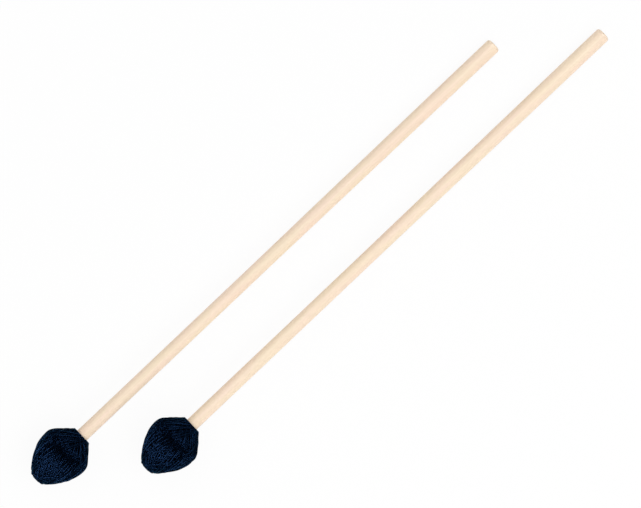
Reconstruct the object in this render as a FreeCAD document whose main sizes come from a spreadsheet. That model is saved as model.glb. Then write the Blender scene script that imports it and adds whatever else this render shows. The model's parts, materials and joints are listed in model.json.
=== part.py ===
import FreeCAD
import Part
import Sketcher
import math
import os

# A matched pair of keyboard mallets, lying side by side on a table.
# Each has a birch shaft, a rubber core in a stretched sleeve, inner layers of cord,
# an outer layer of criss-cross cord, a stitched crown in front and a whipping at the neck.
# Each mallet is drawn along its own X axis, with the front of the head at zero and
# the butt at the far end, and is then laid down on head and butt beside its twin.

# Driving sizes, in millimetres; the rest are counts and shares
SIZES = (
    ("mallet_length", "397", "front of the head to the butt"),
    ("neck_diameter", "8.6", "shaft at the head"),
    ("grip_diameter", "9.7", "shaft at the butt"),
    ("taper_start", "206", "end of the slim part of the shaft, from the butt"),
    ("taper_end", "34", "start of the thick part of the shaft, from the butt"),
    ("butt_round", "1.8", "rounding of the butt's edge"),
    ("head_length", "40.1", "front crown to rear crown"),
    ("head_diameter", "34.2", "over the cord at the widest place"),
    ("belly_station", "15.6", "widest place, from the rear crown"),
    ("crown_lip_radius", "1.8", "round edge under the crossings"),
    ("core_depth", "4.6", "cord and sleeve over the rubber core at the belly"),
    ("core_front_station", "9", "front face of the rubber core, from the front crown"),
    ("core_rear_station", "6.6", "rear face of the rubber core, from the rear crown"),
    ("core_face_width", "1.6", "flat ring of the core's faces, round the bore"),
    ("core_lip_radius", "1", "edge of the core's faces"),
    ("sleeve_thickness", "0.8", "stretched sleeve on the core"),
    ("glue_gap", "0.05", "between glued pieces"),
    ("cord_diameter", "1", "outer winding"),
    ("turn_gap", "0.45", "between turns that cross or lie side by side"),
    ("lay_gap", "0.1", "between a turn and what it lies on"),
    ("winding_loops", "12", "loops of the outer winding"),
    ("thread_diameter", "0.7", "crown stitching and neck whipping"),
    ("stitching_turns", "1.25", "turns of the front crown's stitching"),
    ("stitching_radius", "1.1", "start of that stitching, from the axis"),
    ("stitching_pitch", "1.55", "from turn to turn of that stitching"),
    ("whipping_turns", "3", "turns of the neck whipping"),
    ("pair_shift_along", "54.7", "second mallet, towards the butts"),
    ("pair_shift_across", "42.4", "second mallet, to the side"),
    ("front_straight_share", "0.08", "how far the front swell falls short of the whole cone"),
    ("rear_straight_share", "0.48", "how far the rear swell falls short of the whole cone"),
    ("front_seat_share", "2.858", "inner layers behind the head's front, in steps of the cord"),
    ("front_eye_share", "3.358", "eye of the front crossings, in such steps"),
    ("front_foot_share", "1.749", "where a turn starts to climb there"),
    ("front_pile_share", "2.661", "height of the front crossings"),
    ("front_crest_share", "1.75", "where a turn is highest there"),
    ("front_fall_share", "4.276", "where it is down again"),
    ("rear_seat_share", "2.677", "inner layers before the head's rear end"),
    ("rear_foot_share", "1.145", "where a turn starts to climb there"),
    ("rear_pile_share", "2.046", "height of the rear crossings"),
    ("rear_crest_share", "1.006", "where a turn is highest there"),
    ("rear_fall_share", "4.389", "where it is down again"),
)

# The same few sums, as the sheet's expressions
STEP = "(sizes.cord_diameter + sizes.turn_gap)"
BELLY = "(sizes.head_length - sizes.belly_station)"
FRONT_EYE = f"(sizes.front_eye_share * {STEP})"
REAR_EYE = (
    "(sizes.neck_diameter / 2 + sizes.lay_gap + sizes.thread_diameter"
    " + sizes.lay_gap + sizes.cord_diameter / 2)"
)
UNDER_FRONT = f"(sizes.front_seat_share * {STEP})"
UNDER_REAR = f"(sizes.head_length - sizes.rear_seat_share * {STEP})"
UNDER_RADIUS = f"(sizes.head_diameter / 2 - {STEP} - sizes.cord_diameter - sizes.lay_gap)"
CORE_RADIUS = "(sizes.head_diameter / 2 - sizes.core_depth)"
CORE_REAR = "(sizes.head_length - sizes.core_rear_station)"
BORE_RADIUS = "(sizes.neck_diameter / 2 + sizes.glue_gap)"
CORE_FLAT = f"({BORE_RADIUS} + sizes.core_face_width)"

Y_AXIS = FreeCAD.Vector(0, 1, 0)
BIARCS_PER_LOOP = 16
# How far along its first loop the cord starts, and before the end of its last one it stops
LOOSE_END_SHARE = 0.05
# Points for measuring lie this share of the cord's diameter apart
MEASURE_SHARE = 0.2
# Differences this small, beside the length that they belong to, count as none
SLIGHT_SHARE = 0.001
# An arc that turns less than this square share is drawn as a straight line
STRAIGHT_SHARE = 1e-9

doc = FreeCAD.newDocument("keyboard_mallets")
sheet = doc.addObject("Spreadsheet::Sheet", "sizes")
for row, (alias, number, meaning) in enumerate(SIZES, start=1):
    sheet.set(f"A{row}", alias)
    sheet.set(f"B{row}", number)
    sheet.set(f"C{row}", meaning)
    sheet.setAlias(f"B{row}", alias)
doc.recompute()


def size(alias):
    """A driving size from the sheet."""
    return float(getattr(sheet, alias))


def worked_out(expression):
    """The value of one of the sums above."""
    return float(sheet.evalExpression(expression.replace("sizes.", "")))


def outline_sums(radius, front, rear, front_flat, rear_flat, lip, thickness="0"):
    """Sums that fix an outline of the head, and grow it outwards by a thickness.

    On each side of the belly a swell runs into a straight cone, which runs into the lip
    round a flat face. The swell that would reach the lip by itself is the largest one,
    and a share of its radius is left off for the straight cone.
    """
    reach = {"front": f"({BELLY} - {front} - {lip})", "rear": f"({rear} - {lip} - {BELLY})"}
    sums = {"front_flat": front_flat, "rear_flat": rear_flat}
    for side in ("front", "rear"):
        rise = f"({radius} - {sums[side + '_flat']})"
        largest = f"({reach[side]} ^ 2 + {rise} ^ 2 - {lip} ^ 2) / (2 * ({rise} - {lip}))"
        kept = f"(1 - sizes.{side}_straight_share)"
        sums[f"{side}_swell"] = f"({largest} * {kept} + {thickness})"
    sums["radius"] = f"({radius} + {thickness})"
    sums["front"] = f"({front} - {thickness})"
    sums["rear"] = f"({rear} + {thickness})"
    sums["lip"] = f"({lip} + {thickness})"
    return sums


class HeadOutline:
    """Half outline of the head or of a layer in it, with its sums worked out.

    It runs from the axis along the front face, over the front lip, up the front cone,
    over the belly in two curves, down the rear cone, over the rear lip and back along
    the rear face. Each curve is an arc that starts and ends at a known slope.
    """

    def __init__(self, sums):
        value = {name: worked_out(expression) for name, expression in sums.items()}
        station = worked_out(BELLY)
        lip = value["lip"]
        front_arc = (station, value["radius"] - value["front_swell"])
        rear_arc = (station, value["radius"] - value["rear_swell"])
        front_lip = (value["front"] + lip, value["front_flat"])
        rear_lip = (value["rear"] - lip, value["rear_flat"])
        front_normal = self.cone_facing(front_lip, front_arc, lip - value["front_swell"], 1)
        rear_normal = self.cone_facing(rear_lip, rear_arc, lip - value["rear_swell"], -1)
        self.normals = (math.pi, front_normal, math.pi / 2, rear_normal, 0.0)
        self.radii = (lip, value["front_swell"], value["rear_swell"], lip)
        self.centres = (front_lip, front_arc, rear_arc, rear_lip)
        self.ends = ((value["front"], 0.0), (value["rear"], 0.0))
        self.runs = self.all_runs()
        self.length = sum(run[0] for run in self.runs)

    def cone_facing(self, lip_centre, arc_centre, difference, side):
        """Facing of the straight line that touches a lip and a swell from outside."""
        along = arc_centre[0] - lip_centre[0]
        away = arc_centre[1] - lip_centre[1]
        opening = math.acos(difference / math.hypot(along, away))
        return (math.atan2(away, along) + side * opening) % math.tau

    def on_arc(self, number, angle):
        """Point of an arc where the surface faces a given way."""
        centre = self.centres[number]
        radius = self.radii[number]
        return (centre[0] + radius * math.cos(angle), centre[1] + radius * math.sin(angle))

    def all_runs(self):
        """Straight and round runs in order: length, start point, facing, arc number."""
        runs = []
        here = self.ends[0]
        for number in range(len(self.centres)):
            start = self.on_arc(number, self.normals[number])
            straight = math.dist(here, start)
            runs.append((straight, here, self.normals[number], None))
            sweep = self.normals[number] - self.normals[number + 1]
            runs.append((self.radii[number] * sweep, start, self.normals[number], number))
            here = self.on_arc(number, self.normals[number + 1])
        runs.append((math.dist(here, self.ends[1]), here, 0.0, None))
        return runs

    def at(self, distance):
        """Point and facing, a distance along the outline from the front of the axis."""
        for length, start, facing, number in self.runs:
            if distance <= length or number is None and facing == 0.0:
                break
            distance -= length
        if number is None:
            along = (math.sin(facing), -math.cos(facing))
            point = (start[0] + distance * along[0], start[1] + distance * along[1])
            return point, facing
        facing -= distance / self.radii[number]
        return self.on_arc(number, facing), facing


def sketch_on_axis(body, name):
    """Empty sketch in the plane through the mallet's axis."""
    sketch = body.newObject("Sketcher::SketchObject", name)
    plane = next(part for part in body.Origin.OriginFeatures if part.Role == "XZ_Plane")
    sketch.AttachmentSupport = [(plane, "")]
    sketch.MapMode = "FlatFace"
    return sketch


def bind(sketch, kind, places, expression):
    """Add one dimension to a sketch and tie it to the sheet."""
    number = sketch.addConstraint(Sketcher.Constraint(kind, *places, worked_out(expression)))
    name = f"size_{number}"
    sketch.renameConstraint(number, name)
    sketch.setExpression(f"Constraints.{name}", expression)


def turned_outline(body, kind, name, sums, bore=None):
    """Revolution or groove of an outline of the head, down to the axis or to a bore."""
    outline = HeadOutline(sums)
    inner = worked_out(bore) if bore else 0.0
    sketch = sketch_on_axis(body, f"{name}_sketch")
    corners = [(outline.ends[0][0], inner)]
    for number in range(len(outline.centres)):
        corners.append(outline.on_arc(number, outline.normals[number]))
        corners.append(outline.on_arc(number, outline.normals[number + 1]))
    corners.append((outline.ends[1][0], inner))
    points = [FreeCAD.Vector(along, away, 0) for along, away in corners]
    belly = 5

    # Lines and arcs in turn; the two curves of the belly meet without a line between
    geometry = [Part.LineSegment(points[-1], points[0])]
    for number, centre in enumerate(outline.centres):
        if number != 2:
            geometry.append(Part.LineSegment(points[2 * number], points[2 * number + 1]))
        circle = Part.Circle(FreeCAD.Vector(*centre, 0), FreeCAD.Vector(0, 0, 1), outline.radii[number])
        geometry.append(Part.ArcOfCircle(circle, outline.normals[number + 1], outline.normals[number]))
    geometry.append(Part.LineSegment(points[-2], points[-1]))
    sketch.addGeometry(geometry, False)

    # Start and end of each piece in running order; arcs are stored the other way round
    arcs = {2: 0, 4: 1, 5: 2, 7: 3}
    start = {piece: 2 if piece in arcs else 1 for piece in range(len(geometry))}
    end = {piece: 1 if piece in arcs else 2 for piece in range(len(geometry))}
    last = len(geometry) - 1
    for piece in range(1, last):
        sketch.addConstraint(
            Sketcher.Constraint("Tangent", piece, end[piece], piece + 1, start[piece + 1])
        )
    sketch.addConstraint(Sketcher.Constraint("Coincident", 0, end[0], 1, start[1]))
    sketch.addConstraint(Sketcher.Constraint("Coincident", last, end[last], 0, start[0]))
    sketch.addConstraint(Sketcher.Constraint("Horizontal", 0))
    sketch.addConstraint(Sketcher.Constraint("Vertical", 1))
    sketch.addConstraint(Sketcher.Constraint("Vertical", last))
    sketch.addConstraint(Sketcher.Constraint("Vertical", belly, 3, belly, start[belly]))
    if bore:
        bind(sketch, "DistanceY", (-1, 1, 0, 2), bore)
    else:
        sketch.addConstraint(Sketcher.Constraint("PointOnObject", 0, 2, -1))
    dimensions = (
        ("DistanceX", (-1, 1, 0, 2), sums["front"]),
        ("DistanceX", (-1, 1, 0, 1), sums["rear"]),
        ("DistanceX", (-1, 1, belly, start[belly]), BELLY),
        ("DistanceY", (-1, 1, belly, start[belly]), sums["radius"]),
        ("DistanceY", (-1, 1, 2, 3), sums["front_flat"]),
        ("DistanceY", (-1, 1, 7, 3), sums["rear_flat"]),
        ("Radius", (2,), sums["lip"]),
        ("Radius", (4,), sums["front_swell"]),
        ("Radius", (5,), sums["rear_swell"]),
        ("Radius", (7,), sums["lip"]),
    )
    for dimension, places, expression in dimensions:
        bind(sketch, dimension, places, expression)
    return turned(body, kind, name, sketch)


def turned(body, kind, name, sketch):
    """Turn a sketch once round the mallet's axis."""
    feature = body.newObject(f"PartDesign::{kind}", name)
    feature.Profile = sketch
    feature.ReferenceAxis = (sketch, ["H_Axis"])
    feature.Angle = 360
    doc.recompute()
    return feature


def turned_rectangle(body, kind, name, front, rear, radius):
    """Revolution or groove of a plain round bar along the axis."""
    near = worked_out(front)
    far = worked_out(rear)
    height = worked_out(radius)
    sketch = sketch_on_axis(body, f"{name}_sketch")
    corners = [(near, 0), (near, height), (far, height), (far, 0)]
    close_polygon(sketch, corners)
    bind(sketch, "DistanceX", (-1, 1, 0, 1), front)
    bind(sketch, "DistanceX", (-1, 1, 2, 1), rear)
    bind(sketch, "DistanceY", (-1, 1, 1, 1), radius)
    sketch.addConstraint(Sketcher.Constraint("Vertical", 0))
    sketch.addConstraint(Sketcher.Constraint("Horizontal", 1))
    sketch.addConstraint(Sketcher.Constraint("Vertical", 2))
    return turned(body, kind, name, sketch)


def close_polygon(sketch, corners):
    """Lines from corner to corner, the last one lying on the axis."""
    points = [FreeCAD.Vector(along, away, 0) for along, away in corners]
    count = len(points)
    for number in range(count):
        sketch.addGeometry(Part.LineSegment(points[number], points[(number + 1) % count]), False)
    for number in range(count):
        sketch.addConstraint(Sketcher.Constraint("Coincident", number, 2, (number + 1) % count, 1))
    sketch.addConstraint(Sketcher.Constraint("PointOnObject", 0, 1, -1))
    sketch.addConstraint(Sketcher.Constraint("PointOnObject", count - 1, 1, -1))


def new_body(label):
    body = doc.addObject("PartDesign::Body", label)
    body.Label = label
    return body


# Shaft

def make_shaft(label):
    """Turned birch shaft: slim at the head, swelling to a thicker grip, round-edged butt."""
    body = new_body(label)
    sketch = sketch_on_axis(body, f"{label}_sketch")
    neck = "sizes.neck_diameter / 2"
    grip = "sizes.grip_diameter / 2"
    places = (
        ("sizes.core_front_station", "0"),
        ("sizes.core_front_station", neck),
        ("sizes.mallet_length - sizes.taper_start", neck),
        ("sizes.mallet_length - sizes.taper_end", grip),
        ("sizes.mallet_length", grip),
        ("sizes.mallet_length", "0"),
    )
    close_polygon(sketch, [(worked_out(along), worked_out(away)) for along, away in places])
    for line in (0, 4):
        sketch.addConstraint(Sketcher.Constraint("Vertical", line))
    for line in (1, 3):
        sketch.addConstraint(Sketcher.Constraint("Horizontal", line))
    for point in (0, 2, 3, 4):
        bind(sketch, "DistanceX", (-1, 1, point, 1), places[point][0])
    bind(sketch, "DistanceY", (-1, 1, 1, 1), neck)
    bind(sketch, "DistanceY", (-1, 1, 4, 1), grip)
    shaft = turned(body, "Revolution", f"{label}_turning", sketch)
    fillet = body.newObject("PartDesign::Fillet", f"{label}_butt")
    fillet.Base = (shaft, [butt_edge(shaft.Shape)])
    fillet.setExpression("Radius", "sizes.butt_round")
    return body


def butt_edge(shape):
    """Name of the circle round the butt."""
    slight = size("grip_diameter") * SLIGHT_SHARE
    for number, edge in enumerate(shape.Edges, start=1):
        box = edge.BoundBox
        at_butt = abs(box.XMin - size("mallet_length")) < slight
        if at_butt and abs(box.ZLength - size("grip_diameter")) < slight:
            return f"Edge{number}"
    raise ValueError("the shaft has no edge round its butt")


# Rubber core and its sleeve

def core_grown_by(thickness):
    """Sums for the core's outline, grown outwards by a thickness."""
    return outline_sums(
        CORE_RADIUS, "sizes.core_front_station", CORE_REAR, CORE_FLAT, CORE_FLAT,
        "sizes.core_lip_radius", thickness
    )


def make_core(label):
    """Rubber core, drilled right through for the shaft."""
    body = new_body(label)
    turned_outline(body, "Revolution", f"{label}_turning", core_grown_by("0"), BORE_RADIUS)
    return body


def make_sleeve(label):
    """Thin sleeve stretched over the core, with a hole at each end."""
    body = new_body(label)
    outside = core_grown_by("(sizes.glue_gap + sizes.sleeve_thickness)")
    turned_outline(body, "Revolution", f"{label}_outside", outside, BORE_RADIUS)
    turned_outline(body, "Groove", f"{label}_inside", core_grown_by("sizes.glue_gap"))
    return body


# Inner layers of cord

def under_winding_sums():
    """Sums for the surface that the outer cord lies on."""
    return outline_sums(
        UNDER_RADIUS, UNDER_FRONT, UNDER_REAR, FRONT_EYE, REAR_EYE, "sizes.crown_lip_radius"
    )


def make_under_winding(label):
    """Inner layers of cord as one smooth solid, piled thick at both crowns."""
    body = new_body(label)
    turned_outline(body, "Revolution", f"{label}_outside", under_winding_sums())
    room = core_grown_by("(2 * sizes.glue_gap + sizes.sleeve_thickness)")
    turned_outline(body, "Groove", f"{label}_inside", room)
    turned_rectangle(body, "Groove", f"{label}_neck_hole", BELLY, "sizes.head_length", BORE_RADIUS)
    return body


# Cords and threads as tubes

def biarc_edges(points, headings):
    """Two arcs from each point to the next, tangent to the headings and to each other."""
    edges = []
    for number in range(len(points) - 1):
        start, finish = points[number], points[number + 1]
        leaving, arriving = headings[number], headings[number + 1]
        gap = finish - start
        both = leaving + arriving
        turn = 2 - 2 * leaving.dot(arriving)
        along = gap.dot(both)
        if turn * gap.dot(gap) < along * along * STRAIGHT_SHARE:
            reach = gap.dot(gap) / (2 * along)
        else:
            reach = (math.sqrt(along * along + turn * gap.dot(gap)) - along) / turn
        first = start + leaving * reach
        second = finish - arriving * reach
        middle = (first + second) / 2
        edges.append(arc_edge(start, leaving, middle))
        edges.append(arc_edge(middle, (second - first).normalize(), finish))
    return edges


def arc_edge(start, heading, finish):
    """The arc that leaves a point along a heading and ends at another point."""
    chord = finish - start
    across = heading - chord * (heading.dot(chord) / chord.dot(chord))
    if across.Length < STRAIGHT_SHARE:
        return Part.LineSegment(start, finish).toShape()
    half_turn = chord.getAngle(heading)
    bulge = across.normalize() * (chord.Length / 2 * math.tan(half_turn / 2))
    return Part.Arc(start, start + chord / 2 + bulge, finish).toShape()


def tube(label, route, stations, diameter):
    """One unbroken tube along a route, straight for one diameter at each end."""
    slight = (stations[1] - stations[0]) * SLIGHT_SHARE
    points = [route(station) for station in stations]
    headings = [(route(at + slight) - route(at - slight)).normalize() for at in stations]
    points.insert(0, points[0] - headings[0] * diameter)
    points.append(points[-1] + headings[-1] * diameter)
    edges = [Part.LineSegment(points[0], points[1]).toShape()]
    edges += biarc_edges(points[1:-1], headings)
    edges.append(Part.LineSegment(points[-2], points[-1]).toShape())
    path = Part.Wire(edges)
    section = Part.Wire(Part.Circle(points[0], headings[0], diameter / 2).toShape())
    solid = path.makePipeShell([section], True, False)
    piece = doc.addObject("Part::Feature", label)
    piece.Label = label
    piece.Shape = solid
    tightest = min(edge.Curve.Radius for edge in edges if hasattr(edge.Curve, "Radius"))
    fullness = solid.Volume / (path.Length * math.pi * diameter * diameter / 4)
    print(
        f"{label}: {path.Length:.1f} mm long, tightest radius {tightest:.2f} mm,",
        f"least gap to itself {least_gap(edges, diameter):.3f} mm, volume share {fullness:.4f}"
    )
    return piece


def least_gap(edges, diameter):
    """Least clear distance between stretches of a tube that aren't next to each other."""
    spacing = diameter * MEASURE_SHARE
    cell = 2 * diameter
    skip = int(4 * diameter / spacing)
    grid = {}
    points = []
    for edge in edges:
        count = max(2, math.ceil(edge.Length / spacing) + 1)
        points += edge.discretize(count)[:-1]
    for number, point in enumerate(points):
        key = tuple(math.floor(value / cell) for value in point)
        grid.setdefault(key, []).append(number)
    sides = (-1, 0, 1)
    least = cell
    for key, members in grid.items():
        around = []
        for ahead in sides:
            for aside in sides:
                for above in sides:
                    around += grid.get((key[0] + ahead, key[1] + aside, key[2] + above), [])
        for number in members:
            for other in around:
                if other > number + skip:
                    least = min(least, points[number].distanceToPoint(points[other]))
    return least - diameter


# Outer winding

def crossing_lift(across, step, foot, pile, crest, fall):
    """Height of a turn on its way over the others that cross it in a crown."""
    climbing = min(max((across + foot) / (crest + foot), 0.0), 1.0)
    sinking = min(max((across - crest) / (fall - crest), 0.0), 1.0)
    if across <= crest:
        return pile * (climbing + climbing * climbing * (3 - 2 * climbing)) / 2
    return pile + (step - pile) * sinking * sinking * (3 - 2 * sinking)


def make_outer_winding(label):
    """Criss-cross cord: each loop lies in a leaning plane that passes beside the axis.

    On its way forward a loop lies on the inner layers. It climbs over the others in the
    front crown, comes back on top of them, and sinks under the next ones in the rear crown.
    """
    step = worked_out(STEP)
    loops = int(size("winding_loops"))
    under = HeadOutline(under_winding_sums())
    crowns = {
        side: [step * size(f"{side}_{name}_share") for name in ("foot", "pile", "crest", "fall")]
        for side in ("front", "rear")
    }
    front_eye = worked_out(FRONT_EYE)
    rear_eye = worked_out(REAR_EYE)
    foremost = front_eye
    rearmost = under.length - rear_eye
    bedding = size("cord_diameter") / 2 + size("lay_gap")

    def route(turns):
        phase = turns - math.floor(turns)
        forward = phase < 0.5
        rearward = 1 - 2 * phase if forward else 2 * phase - 1
        reach = (1 - math.cos(math.pi * rearward)) / 2
        (station, radius), facing = under.at(foremost + (rearmost - foremost) * reach)
        beside = front_eye * (1 - reach) - rear_eye * reach
        across = math.sqrt(max(radius * radius - beside * beside, 0.0))
        across = -across if forward else across
        crown = crowns["front"] if rearward < 0.5 else crowns["rear"]
        lift = bedding + crossing_lift(across, step, *crown)
        swing = 2 * math.pi * turns / loops + math.atan2(across, beside)
        away = math.hypot(beside, across) + lift * math.sin(facing)
        return FreeCAD.Vector(
            station + lift * math.cos(facing), away * math.cos(swing), away * math.sin(swing)
        )

    count = loops * BIARCS_PER_LOOP
    stations = [number / BIARCS_PER_LOOP for number in range(count + 1)]
    stations[0] += LOOSE_END_SHARE
    stations[-1] -= LOOSE_END_SHARE
    return tube(label, route, stations, size("cord_diameter"))


# Front stitching and neck whipping

def quarter_turns(turns):
    """Stations every quarter turn along a coil."""
    quarters = round(4 * turns)
    return [number / 4 for number in range(quarters + 1)]


def make_front_stitching(label):
    """Flat spiral of thread in the eye of the front crown."""
    thread = size("thread_diameter")
    pitch = size("stitching_pitch")
    depth = worked_out(UNDER_FRONT) - size("lay_gap") - thread / 2

    def route(turns):
        radius = size("stitching_radius") + pitch * turns
        angle = 2 * math.pi * turns
        return FreeCAD.Vector(depth, radius * math.cos(angle), radius * math.sin(angle))

    return tube(label, route, quarter_turns(size("stitching_turns")), thread)


def make_neck_whipping(label):
    """Coil of thread round the shaft, in the eye of the rear crown."""
    thread = size("thread_diameter")
    pitch = thread + size("turn_gap")
    radius = size("neck_diameter") / 2 + size("lay_gap") + thread / 2
    start = worked_out(UNDER_REAR) + size("lay_gap") + thread / 2

    def route(turns):
        angle = 2 * math.pi * turns
        return FreeCAD.Vector(start + pitch * turns, radius * math.cos(angle), radius * math.sin(angle))

    return tube(label, route, quarter_turns(size("whipping_turns")), thread)


# The pair at rest

MAKERS = (
    ("shaft", make_shaft),
    ("core", make_core),
    ("core_sleeve", make_sleeve),
    ("under_winding", make_under_winding),
    ("outer_winding", make_outer_winding),
    ("front_stitching", make_front_stitching),
    ("neck_whipping", make_neck_whipping),
)


def resting_place(mallet):
    """Where a mallet lies: on its belly and on the edge of its butt."""
    belly = size("head_diameter") / 2
    grip = size("grip_diameter") / 2
    station = worked_out(BELLY)
    contact = size("mallet_length") - size("butt_round")
    tilt = math.atan2(belly - grip, contact - station)
    height = station * math.sin(tilt) + belly * math.cos(tilt)
    along = size("pair_shift_along")
    across = size("pair_shift_across")
    middle = (size("mallet_length") * math.cos(tilt) + along) / 2
    base = FreeCAD.Vector(along * mallet - middle, across / 2 - across * mallet, height)
    return FreeCAD.Placement(base, FreeCAD.Rotation(Y_AXIS, math.degrees(tilt)))


pieces = []
for mallet in (0, 1):
    place = resting_place(mallet)
    for name, make in MAKERS:
        piece = make(f"{name}_{mallet + 1}")
        piece.Placement = place
        pieces.append(piece)
doc.recompute()

for item in doc.Objects:
    if "Invalid" in item.State or "Error" in item.State:
        raise ValueError(f"{item.Label} failed: {item.State}")
for piece in pieces:
    if piece.Shape.isNull() or not piece.Shape.isValid():
        raise ValueError(f"{piece.Label} has no valid shape")

os.makedirs("parts", exist_ok=True)
for piece in pieces:
    piece.Shape.exportStep(f"parts/{piece.Label}.step")
    print(f"{piece.Label}: {piece.Shape.Volume:.1f} cubic mm, {len(piece.Shape.Solids)} solid")
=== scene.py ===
import json
import math

import bmesh
import bpy
import numpy as np
from mathutils import Matrix, Vector


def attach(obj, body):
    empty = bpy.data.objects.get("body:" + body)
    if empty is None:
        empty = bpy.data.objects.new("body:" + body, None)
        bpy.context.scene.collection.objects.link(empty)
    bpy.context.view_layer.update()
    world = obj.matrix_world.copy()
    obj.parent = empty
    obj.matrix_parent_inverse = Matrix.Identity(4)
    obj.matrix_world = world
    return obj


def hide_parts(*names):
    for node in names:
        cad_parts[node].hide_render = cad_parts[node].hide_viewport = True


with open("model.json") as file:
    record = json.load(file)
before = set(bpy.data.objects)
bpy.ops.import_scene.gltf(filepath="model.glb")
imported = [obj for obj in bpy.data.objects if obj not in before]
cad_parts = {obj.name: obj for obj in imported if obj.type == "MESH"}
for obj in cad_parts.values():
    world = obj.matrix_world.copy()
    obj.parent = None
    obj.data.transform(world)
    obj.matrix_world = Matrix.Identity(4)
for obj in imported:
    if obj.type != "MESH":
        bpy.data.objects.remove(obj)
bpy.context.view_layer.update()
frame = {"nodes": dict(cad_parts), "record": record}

# A matched pair of cord-wound keyboard mallets on a white table.
# Lengths along and round a mallet are in millimetres from the front of its head;
# they become metres in the shared frame when a piece is made.
MM = 0.001
MALLETS = (1, 2)
NEAR_HEAD_SHARE = 0.25


class Mallet:
    """One mallet's own axis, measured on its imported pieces."""

    def __init__(self, number):
        self.number = number
        self.body = f"mallet_{number}"
        mounts = frame["record"]["mounts"]
        grip = next(mount for mount in mounts if mount["name"] == f"grip_end_{number}")
        self.along = Vector(grip["axis"]).normalized()
        self.across = Vector((0, 1, 0))
        self.upwards = self.along.cross(self.across)
        self.origin = Vector(grip["pos_m"])
        stations = self.measured("outer_winding")[0]
        self.origin += self.along * float(stations.min()) * MM
        self.neck_radius = self.radius_near_head("shaft")
        self.tilt = math.atan2(-self.along.z, self.along.x)

    def node(self, piece):
        return frame["nodes"][f"{piece}_{self.number}"]

    def measured(self, piece):
        """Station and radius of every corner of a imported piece."""
        mesh = self.node(piece).data
        corners = np.zeros(len(mesh.vertices) * 3)
        mesh.vertices.foreach_get("co", corners)
        local = (corners.reshape(-1, 3) - np.array(self.origin)) / MM
        stations = local @ np.array(self.along)
        across = local @ np.array(self.across)
        upwards = local @ np.array(self.upwards)
        return stations, np.hypot(across, upwards)

    def radius_near_head(self, piece):
        """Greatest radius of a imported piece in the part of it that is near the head."""
        stations, radii = self.measured(piece)
        return float(radii[stations < stations.max() * NEAR_HEAD_SHARE].max())

    def place(self, points):
        """Points of the mallet's own frame, as an array in metres in the shared frame."""
        points = np.asarray(points, float) * MM
        axes = np.array([self.along, self.across, self.upwards])
        return points @ axes + np.array(self.origin)

    def matrix(self):
        """The mallet's own frame, in millimetres, as a matrix."""
        turned = Matrix((self.along, self.across, self.upwards)).transposed().to_4x4()
        return Matrix.Translation(self.origin) @ turned @ Matrix.Scale(MM, 4)


mallets = [Mallet(number) for number in MALLETS]


# The head's outline

OUTLINE_STEP = 0.2
BEND_REACH = 5

# Half outline of the finished head: share of its length from the front crown, share of
# its greatest radius. A measuring script read these points off the photographed outline,
# 1 to 2 mm apart. Those of the nose and the rear slope were moved later, until the
# head's outline agreed with it.
HEAD_SHARES = (
    (0.0, 0.0), (0.0, 0.12), (0.004, 0.16), (0.011, 0.21), (0.025, 0.285), (0.049, 0.378),
    (0.072, 0.43), (0.095, 0.473), (0.12, 0.52), (0.142, 0.56), (0.166, 0.598), (0.212, 0.671),
    (0.259, 0.744), (0.307, 0.806), (0.354, 0.864), (0.401, 0.908), (0.449, 0.946), (0.494, 0.969),
    (0.541, 0.989), (0.589, 0.998), (0.611, 1.0), (0.636, 0.998), (0.683, 0.982), (0.731, 0.934),
    (0.753, 0.9), (0.776, 0.853), (0.823, 0.757), (0.87, 0.656), (0.918, 0.55), (0.94, 0.5),
    (0.965, 0.459), (0.988, 0.414), (1.0, 0.385), (1.0, 0.0),
)
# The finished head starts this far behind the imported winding's front, and ends this far
# past its rear.
FRONT_START = 0.35
REAR_SWELL = 0.5


class Outline:
    """Half outline of the head from the middle of its front to the middle of its rear."""

    def __init__(self, stations, radii, step=OUTLINE_STEP):
        runs = np.hypot(np.diff(stations), np.diff(radii))
        travelled = np.concatenate(([0.0], np.cumsum(runs)))
        self.step = step
        self.length = travelled[-1]
        self.distances = np.arange(0.0, self.length, step)
        self.stations = np.interp(self.distances, travelled, stations)
        self.radii = np.interp(self.distances, travelled, radii)
        slope_station = np.gradient(self.stations, step)
        slope_radius = np.gradient(self.radii, step)
        size = np.hypot(slope_station, slope_radius)
        self.facing_station = -slope_radius / size
        self.facing_radius = slope_station / size
        turning = np.unwrap(np.arctan2(self.facing_radius, self.facing_station))
        self.bend = eased(-np.gradient(turning, step), BEND_REACH).clip(0.0)

    def at(self, distances, values):
        return np.interp(distances, self.distances, values)

    def points_under(self, distance, angle, depth):
        """Points at a depth under the outline, in the mallet's own frame."""
        station = self.at(distance, self.stations) - self.at(distance, self.facing_station) * depth
        away = self.at(distance, self.radii) - self.at(distance, self.facing_radius) * depth
        return np.column_stack((station, away * np.cos(angle), away * np.sin(angle)))


def head_outline(mallet):
    """Finished outline of the head, as stations and radii."""
    stations, radii = mallet.measured("outer_winding")
    shares = np.array(HEAD_SHARES)
    length = stations.max() + REAR_SWELL - FRONT_START
    return Outline(FRONT_START + shares[:, 0] * length, shares[:, 1] * radii.max())


def eased(values, reach):
    """Values with each one averaged over its neighbours."""
    weights = np.hanning(2 * reach + 3)[1:-1]
    padded = np.pad(values, reach, mode="edge")
    return np.convolve(padded, weights / weights.sum(), mode="valid")


def averaged(table, reach):
    """Rows of a padded table, each averaged with its neighbours."""
    weights = np.hanning(2 * reach + 3)[1:-1]
    weights /= weights.sum()
    rows = len(table) - 2 * reach
    return sum(weight * table[shift:shift + rows] for shift, weight in enumerate(weights))


# Laying the cord

# Thickness of the winding's cord, and of the thread in the crowns
CORD = 1.02
THREAD = 0.7

LOOPS = 113
ROUNDS = 7
SAMPLES = 260
NUDGE_SHARES = (-1.6, -1.2, -0.8, -0.4, 0.0, 0.4, 0.8, 1.2, 1.6)

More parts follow.
